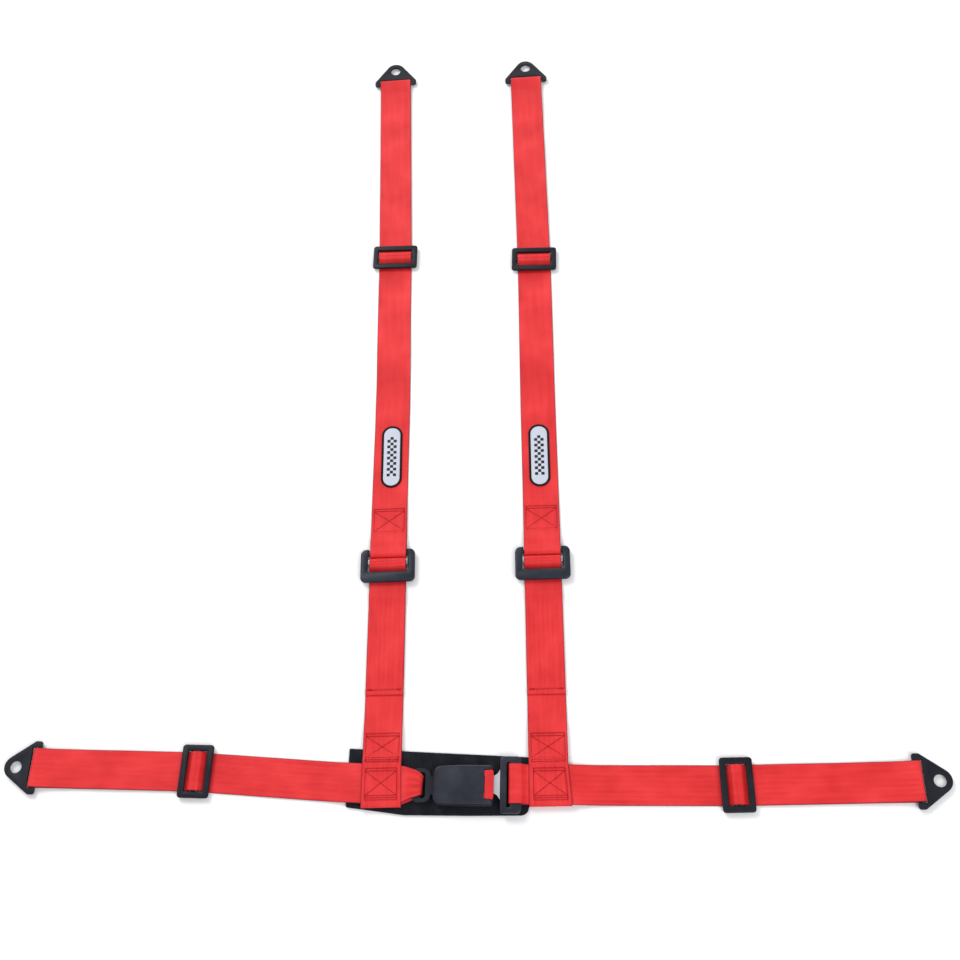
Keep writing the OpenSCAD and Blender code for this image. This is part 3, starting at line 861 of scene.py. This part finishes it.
def loop_strap(name, node_name, slide_node, hinge, turn):
    """Webbing over a slide's centre bar, out round a plate's bar and back."""
    start, end = centre_of(slide_node), Vector(hinge["pos_m"])
    along = (end - start).xy.normalized()
    length = (end - start).xy.length / MM
    hook = SLIDE_Z + SLIDE_T + 0.3 + WEB_T / 2
    over = hook + PITCH
    crest = [(y * 0.8, over - 0.018 * y * y) for y in range(-7, 8)]
    path = [(-SLIDE_REACH, ply(0)), (-11.5, ply(0) + 0.15), (-7.4, 6)] + crest
    path += [(7.3, 6), (9.8, 2.3), (12.5, ply(1)), (length - 30, ply(1))]
    path += arc(length, BAR_Z, LOOP_R, 90, -90)
    path += [(9, ply(0)), (5.4, 3), (4.9, 6.9), (3.8, hook), (-3.8, hook), (-4.9, 6.9), (-4.7, 3.4)]
    lean = math.tan(math.radians(turn))

    def skewed(x, y, z):
        return 0, lean * x * ease((22 - abs(y)) / 10), 0

    matrix = place(start, along)
    drapes = [wavy(name, 0.7, 20, length - 14), skewed, creases([-0.8], over - 1.0, 0.7)]
    piece = ribbon(name, path, matrix, RED, 2.5, drapes)
    stand_in(node_name)
    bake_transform(piece)


def lower_strap(s, root, tail_body, at, length):
    """The strap behind the lap strap, round the bottom fold and up to the adjuster, and its free tail."""
    back, front = LIFT + ply(0), LIFT + ply(3)
    out = CROSSING[s]
    under = length - ADJ_REACH
    rise = [(-40, front), (out, front), (out + 6, back + PITCH), (UPPER_BOX_END + 2, back + PITCH),
            (UPPER_BOX_END + 24, ply(0)), (under, ply(0))]
    path = [(UPPER_BOX_END, back)] + arc(FOLD_END[s], back + FOLD_R, FOLD_R, 270, 90) + rise[1:]
    lean = {"l": 0.3, "r": 1.0}[s]

    def flare(x, y, z):
        """The front layer shifts sideways and widens a little towards the fold."""
        return lean * (1.2 + 0.07 * x) * (ease((26 - y) / 50) if z > back + 0.5 else 0), 0, 0

    spring_up = swell(under - 25, 8, 1.8)
    strap = ribbon(f"lower_webbing_{s}", path, at, RED, 3.0, [flare, spring_up])
    stand_in(f"lower_strap_{s}")
    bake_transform(strap)
    sewn(f"upper_box_{s}", crossed_box(-20.5, 20.5, 27.5, 62.5), on_top(rise), at, root)
    x0, x1 = {"l": (-19.5, 18.5), "r": (-18.5, 19.5)}[s]
    sewn(f"lower_box_{s}", crossed_box(x0, x1, -18.6, 19.4), on_top(rise), at, root, [flare])

    hem_r = PITCH / 2
    path = [(under, ply(1))] + arc(TAIL_END, ply(1) + hem_r, hem_r, 270, 90, 6)
    path += [(TAIL_END + HEM, ply(2))]
    drapes = [wavy("tail" + s, 0.4, TAIL_END - 5, length - 30), spring_up]
    tail = ribbon(f"tail_webbing_{s}", path, at, RED, 4.0, drapes)
    stand_in(f"tail_{s}")
    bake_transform(tail)
    seam = back_tack(-21.8, 21.8, TAIL_END + HEM - 1.2)
    sewn(f"hem_{s}", seam, lambda y: ply(2) + WEB_T / 2, at, tail_body)


def adjuster(s, frame_body, at):
    """The open-topped frame with its top bar, the knurled grip bar and the webbing round it."""
    crest = GRIP_Z + GRIP_LOOP
    path = [(-ADJ_REACH, ply(0))] + arc(GRIP_Y, GRIP_Z, GRIP_LOOP + 0.1, -90, 90, 18)
    path += [(2.6, crest + 0.1), (0, crest - 0.2), (-2.2, crest - 1.4), (-3.9, 6.4), (-5.2, 4.2),
             (-7, 2.5), (-9.5, ply(1)), (-ADJ_REACH, ply(1))]
    grip = ribbon(f"wrap_webbing_{s}", path, at, RED, 0.8, [creases([0.6, 4.4], 7.6, 0.7)], passes=1)
    stand_in(f"adjuster_wrap_{s}")
    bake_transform(grip)

    inner, half, end = ADJ_W / 2 - ADJ_RAIL, ADJ_W / 2, ADJ_LEN / 2
    inside, cheek = -end + ADJ_LOWER, WEB_W / 2 + 0.5
    right = [(half, -end, 7), (half, end, 7.5), (cheek, end, 1), (cheek, ADJ_STEP, 0.8),
             (inner, ADJ_STEP, 1), (inner, inside, 1.8)]
    edge = filleted([(-half, -end, 7)] + right + [(-x, y, r) for x, y, r in reversed(right[1:])])
    shell = plate(f"adjuster_shell_{s}", [edge], ADJ_Z, ADJ_T, 2.2, at, COATED, 45.0)
    ends = [(side * (inner + 1), TOP_BAR_Y, BAR_Z) for side in (-1, 1)]
    bar = cylinder("bar", TOP_BAR_R, *ends, at, COATED)
    hard(join(shell, bar), f"adjuster_frame_{s}", frame_body)

    ends = [(side * (inner - 0.4), GRIP_Y, GRIP_Z) for side in (-1, 1)]
    knurled = cylinder(f"grip_bar_{s}", GRIP_R, *ends, at, STEEL, 96, 24)
    tab_t = 3
    tab_edge = round_box(2 * inner + 5.6, 4.6, 0.6, 0, GRIP_Y, 3)
    tabs = plate("tabs", [tab_edge], GRIP_Z - tab_t / 2, tab_t, 0.3, at, STEEL)
    hard(join(knurled, tabs), f"adjuster_bar_{s}", frame_body)


def badge(s, shoulder, at):
    """A badge with a raised border, laid flat on the shoulder strap."""
    cx, cy = BADGE[s]
    back_to = at.inverted()

    def laid(piece, cad_node):
        points = (back_to @ v.co for v in piece.data.vertices)
        set_lay(piece, [((p.x - cx) * MM, (p.y - cy) * MM, 0.0) for p in points])
        hard(piece, cad_node, shoulder)

    outer, inner, cloth = (round_box(*size, cx, cy, 24) for size in (BADGE_OUTER, BADGE_INNER, BADGE_FACE))
    foot = WEB_T + 0.05
    border = plate(f"badge_edge_{s}", [outer, inner], foot, 1.4, 0.65, at, BORDER)
    laid(border, f"badge_border_{s}")
    face = plate(f"badge_cloth_{s}", [cloth], foot, 0.9, 0.2, at, BADGE_CLOTH)
    laid(face, f"badge_face_{s}")


def shoulder_strap(s, shoulder, at, reach):
    """Folded round the adjuster's top bar, sewn down with a crossed box, and on up to the slide."""
    under = reach - SLIDE_REACH
    rise = [(TOP_BAR_Y + 28, ply(1)), (BOX_TOP + 2, ply(1)), (BOX_TOP + 14, ply(0)), (under, ply(0))]
    slack = 1.28
    turn = arc(TOP_BAR_Y, BAR_Z, LOOP_R, -90, -270)
    fold = [(TOP_BAR_Y + (y - TOP_BAR_Y) * slack, z) for y, z in turn]
    path = [(BOX_TOP, ply(0))] + fold + rise
    bow = bowed({"l": 1.2, "r": -0.4}[s], BOX_TOP, reach - 60)
    drapes = [wavy("shoulder" + s, 0.8, BADGE[s][1] + 52, reach - 20), bow, swell(35, 5, 1.6),
              creases([20.5, 25], 4.5, 0.5)]
    strap = ribbon(f"shoulder_webbing_{s}", path, at, RED, 3.0, drapes)
    stand_in(f"shoulder_strap_{s}")
    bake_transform(strap)
    sewn(f"shoulder_box_{s}", crossed_box(-20.4, 20.4, 45.5, 83.3), on_top(rise), at, shoulder)


# Where the left lap strap draws in to the ring, as (distance along, distance across): its upper edge,
# and its lower edge in the front and back layers.
GATHER_TOP = [(-50.5, 12.8), (-48.5, 15), (-45.8, 17.1), (-41.8, 19.2), (-37.8, 20.5), (-31, 22.6),
              (-25, 24)]
GATHER_FRONT = [(-50.5, -8.4), (-48.5, -9.8), (-45.8, -11.2), (-41.8, -13), (-37.8, -13.8), (-31, -17.4),
                (-25, -20.8), (-20, -24)]
GATHER_BACK = [(-50.5, -8.4), (-48.5, -9.8), (-45.8, -11.6), (-41.8, -14.4), (-37.8, -16.6), (-31, -20.2),
               (-25, -23.2), (-22, -24)]
LAYERS_PART = 7  # height between those layers


def gathered(x, y, z):
    """Draws the webbing in towards the ring, with soft pleats and its lower corner folded under."""
    if y > -20:
        return 0, 0, 0
    in_front = z >= LAYERS_PART
    top, low = between(y, GATHER_TOP), between(y, GATHER_FRONT if in_front else GATHER_BACK)
    new = low + (x + WEB_W / 2) / WEB_W * (top - low)
    t = ease((-24 - y) / 16)
    if not in_front:
        return new - x, 0, 0
    arch = 0.9 * t * (1 - (x * 2 / WEB_W) ** 2)
    pleats = 0.7 * t * math.cos(x * 0.5 + 0.8)
    return new - x, 0, arch + pleats


def lap_strap(s, junction, slide_at, inward):
    """From the slide through the crossing to the ring or the tongue's bar, and back into the crossing."""
    reach = (slide_at - junction).xy.length / MM
    at = place(junction, inward)
    low, high = LIFT + ply(1), LIFT + ply(2)
    out = CROSSING[s]
    path = [(reach - SLIDE_REACH, ply(0)), (out + 32, ply(0)), (out + 1, high)]
    drapes = [wavy("lap" + s, 0.7, out + 34, reach - 20)]
    if s == "l":
        bar_y = (junction.x / MM) - (centre_of("buckle_upper_cover").x / MM - RING_TO_BUCKLE)
        path += [(-out, high), (-out - 9, 9.9)] + arc(bar_y, 7.3, 3.45, 90, 270)
        path += [(-out - 6, 3.85), (-out, low), (WEB_W / 2, low)]
        drapes.append(gathered)
    else:
        nose_y = TONGUE_FOLD_X - junction.x / MM
        path += [(-out + 0.2, high), (-27.5, high + 0.6), (-31, BLADE_MID + 0.2),
                 (nose_y + 10.3, BLADE_MID + 3.5)] + arc(nose_y, BLADE_MID, 3.5, 90, 270)
        path += [(nose_y + 9.3, BLADE_MID - 3.5), (-out, low), (WEB_W / 2, low)]
    lap = ribbon(f"lap_webbing_{s}", path, at, RED, 2.5, drapes)
    stand_in(f"lap_strap_{s}")
    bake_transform(lap)


for s, word in SIDES.items():
    root, shoulder = ROOT[s], f"shoulder_{word}"
    low = JOINT[f"shoulder_adjust_{word}"]["axis"]
    mid = JOINT[f"shoulder_slide_{word}"]["axis"]
    junction = strap_start(f"lower_strap_{s}", low, -FOLD_END[s] + FOLD_R + WEB_T / 2)
    pivot = Vector(JOINT[f"adjuster_tilt_{word}"]["pos_m"]) - Vector(mid) * TOP_BAR_Y * MM
    pivot.z = 0
    slide_at = centre_of(f"shoulder_slide_{s}")
    lower_strap(s, root, f"tail_{word}", place(junction, low), (pivot - junction).length / MM)
    at = place(pivot, mid)
    adjuster(s, f"adjuster_{word}", at)
    shoulder_strap(s, shoulder, at, (slide_at - pivot).xy.length / MM)
    badge(s, shoulder, at)
    lap_body = f"lap_slide_{word}"
    lap_strap(s, junction, centre_of(f"lap_slide_{s}"), JOINT[lap_body]["axis"])
    for part, turn in (("shoulder", SLIDE_TURN), ("lap", 0.0)):
        slide_body, loop_body, plate_body = (f"{part}_{kind}_{word}" for kind in ("slide", "loop", "plate"))
        slide = f"{part}_slide_{s}"
        three_bar(f"{part}_three_bar_{s}", slide, JOINT[loop_body]["axis"], slide_body, turn)
        loop_strap(f"{part}_loop_webbing_{s}", f"{part}_loop_strap_{s}", slide, JOINT[plate_body],
                   turn)
        anchor(f"{part}_anchor_{s}", f"{part}_plate_{s}", plate_body)


# ---- Buckle ----

BUCKLE = place(centre_of("buckle_upper_cover"), (0, 1))
CASING_R, TAPER_R, HEEL_R = 4, 8, 9.5  # corners at the button's end, at mid-length and by the ring


def casing_outline(inset):
    """The casing from above, a little narrower by the ring, drawn in by inset."""
    half, side = BUCKLE_LEN / 2, BUCKLE_W / 2
    corner = max(CASING_R - inset, 0.4)
    shrink = CASING_R - inset - corner
    right = [(half - CASING_R + shrink, side - CASING_R + shrink, corner),
             (-3, side - TAPER_R, TAPER_R - inset), (-half + HEEL_R, side - HEEL_R - 1.3, HEEL_R - inset)]
    mirrored = [(x, -y, r) for x, y, r in reversed(right)]
    return wrap([mirrored[2]] + right + mirrored[:2], 10)


def crown(x, y):
    """Height of the casing's softly crowned top."""
    return BUCKLE_TOP - 0.9 * (x * 2 / BUCKLE_LEN) ** 2 - 1.1 * (y * 2 / BUCKLE_W) ** 2


def casing_ring(inset):
    """The casing's outline drawn in by inset. Beyond 4 mm its innermost outline shrinks to the middle."""
    if inset < 4:
        return casing_outline(inset)
    innermost, shrunk = 3.6, 1 - (inset - 4) / 32
    return [(x * shrunk, y * shrunk) for x, y in casing_outline(innermost)]


def casing():
    """Upper cover, hollow: a lip round its foot, a wall, a rolled edge and a crowned panel set below it."""
    inset, roll, wall_top = 1.1, 2.3, SPLIT + 7.0
    profile = [(0.3, SPLIT), (0.0, SPLIT + 0.3), (0.0, SPLIT + 2.0), (0.5, SPLIT + 2.5), (0.9, SPLIT + 2.7),
               (inset, wall_top)]
    for degrees in (15, 32, 50, 68, 84):
        a = math.radians(degrees)
        rise = lambda x, y, k=math.sin(a): wall_top + (crown(x, y) - SPLIT - 7.15) * k
        profile.append((inset + roll * (1 - math.cos(a)), rise))
    panel = lambda x, y: crown(x, y) - 0.4
    profile += [(3.3, crown)] + [(4 + k, panel) for k in (0.01, 6, 13, 20, 27, 31)]
    cover = rings("buckle_casing_top", casing_ring, profile, BUCKLE, CASING)
    inside = [(WALL + 1.2, SPLIT - 1), (WALL + 1.2, ROOF)]
    cut(cover, rings("hollow", casing_outline, inside, BUCKLE, CASING), CASING)
    notch_from, notch_half = 25.9, 17.8
    verts, faces = cube(notch_from, -notch_half, 0, 60, notch_half, 40)
    cut(cover, add_object("notch", verts, faces, BUCKLE, CASING), CASING)
    finish_mesh(cover, CASING, 30.0)
    hard(cover, "buckle_upper_cover", "buckle_side")


def button():
    """The red button, with a slightly bowed inner edge, and the two arms that its springs push on."""
    end, half = 37.0, 17.6
    edge = filleted([(end, -half, 3), (end, half, 3), (26.4, half - 0.2, 2), (26.0, 0, 60),
                     (26.4, -half + 0.2, 2)], 6)
    cap = plate("button_cap", [edge], 11.5, 5.7, 1.1, BUCKLE, BUTTON)
    arm_edges = [round_box(15.5, 6.5, 0.8, 19.6, side * 13.25, 3) for side in (-1, 1)]
    arms = [plate("button_arm", [arm_edge], 12.5, 4.4, 0.4, BUCKLE, BUTTON) for arm_edge in arm_edges]
    hard(join(cap, *arms), "press_button", "press_button")


def tongue():
    """Cover over the tongue's steel, with the slot that the webbing folds through."""
    at = Matrix.Translation((0, centre_of("tongue_cover").y, 0)) @ Matrix.Scale(MM, 4)
    near, far, left, right, half = 47.8, 62.8, 51.2, 54.7, TONGUE_W / 2
    edge = wrap([(far, -half + 6, 6), (far, half - 6, 6), (near, half - 5, 5), (near, -half + 5, 5)], 10)
    slot = round_box(right - left, TONGUE_SLOT, 1.2, (left + right) / 2, 0, 4)
    shell = plate("tongue_shell", [edge, slot], BLADE_MID - TONGUE_T / 2, TONGUE_T, 1.7, at, CASING, 40.0)
    hard(shell, "tongue_cover", "tongue_side")


def coil(start, end, radius, wire, turns, matrix):
    """A compression spring of round wire between two points."""
    start, end = Vector(start), Vector(end)
    along = (end - start).normalized()
    u = along.orthogonal().normalized()
    v = along.cross(u)
    steps, sides = turns * 16, 8
    closed = 0.14
    verts = []
    for i in range(steps + 1):
        share = i / steps
        open_share = min(max((share - 1 / turns) / (1 - 2 / turns), 0), 1)
        pitch = open_share * (1 - closed) + closed * share
        a = 2 * math.pi * turns * share
        out = u * math.cos(a) + v * math.sin(a)
        at = start + along * wire + (end - start - along * 2 * wire) * pitch + out * radius
        for k in range(sides):
            b = 2 * math.pi * k / sides
            verts.append(tuple(at + out * (wire * math.cos(b)) + along * (wire * math.sin(b))))
    return add_object("coil", verts, tube(steps + 1, sides), matrix, STEEL, 60.0)


def springs():
    """The springs behind the button and over the latch, which shorten as the button goes in."""
    back, front, height, side = -6.9, 11.9, 14.7, 13
    pair = join(*(coil((back, y, height), (front, y, height), 1.4, 0.35, 7, BUCKLE) for y in (-side, side)))
    pair.name = "button_coils"
    hard(pair, "button_springs", "buckle_side")
    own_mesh(pair)
    latch_x, foot = -4, 13.45
    over = coil((latch_x, 0, foot), (latch_x, 0, ROOF - 0.1), 1.8, 0.3, 5, BUCKLE)
    over.name = "latch_coil"
    hard(over, "latch_spring", "buckle_side")
    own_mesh(over)


casing()
button()
tongue()
springs()


# ---- Pad ----

def reach_across(outline, u):
    """Lowest and highest v of a convex outline of (u, v) at one u."""
    found = [a[1] + (b[1] - a[1]) * (u - a[0]) / (b[0] - a[0])
             for a, b in zip(outline, outline[1:] + outline[:1])
             if a[0] != b[0] and (a[0] - u) * (b[0] - u) <= 0]
    return min(found), max(found)


def pad():
    """Wide webbing under the buckle, with ribs across its length that leave a fine tooth along its edges."""
    tilt, middle, clear = math.radians(PAD_TILT), Vector(PAD_MIDDLE), 0.02
    u_axis = Vector((math.cos(tilt), math.sin(tilt)))
    v_axis = Vector((-math.sin(tilt), math.cos(tilt)))
    from_middle = [Vector(q) - middle for q in wrap(PAD_CORNERS, 6)]
    outline = [(q.dot(u_axis), q.dot(v_axis)) for q in from_middle]
    first, last = min(u for u, v in outline) + clear, max(u for u, v in outline) - clear
    steps = round((last - first) / (RIB / 5))
    verts, lay = [], []
    for i in range(steps + 1):
        u = first + (last - first) * i / steps
        low, high = reach_across(outline, u)
        groove = 0.5 - 0.5 * math.cos(2 * math.pi * u / RIB)
        low, high = low + RIB_TOOTH * groove, high - RIB_TOOTH * groove
        top = PAD_T - clear - RIB_GROOVE * groove
        edge = min(0.5, (high - low) / 5)
        side = [(edge, 0), (edge / 4, 0.15), (0, 0.6), (0, top - 0.6), (edge / 4, top - 0.15), (edge, top)]
        for v, z in [(low + x, z) for x, z in side] + [(high - x, z) for x, z in reversed(side)]:
            at = middle + u_axis * u + v_axis * v
            verts.append((at.x, at.y, z))
            lay.append((u * MM, v * MM, 0.0))
    faces = tube(steps + 1, 2 * len(side))
    obj = add_object("ribbed_pad", verts, faces, Matrix.Scale(MM, 4), PAD, 60.0)
    set_lay(obj, lay)
    hard(obj, "buckle_pad", "buckle_side")


pad()
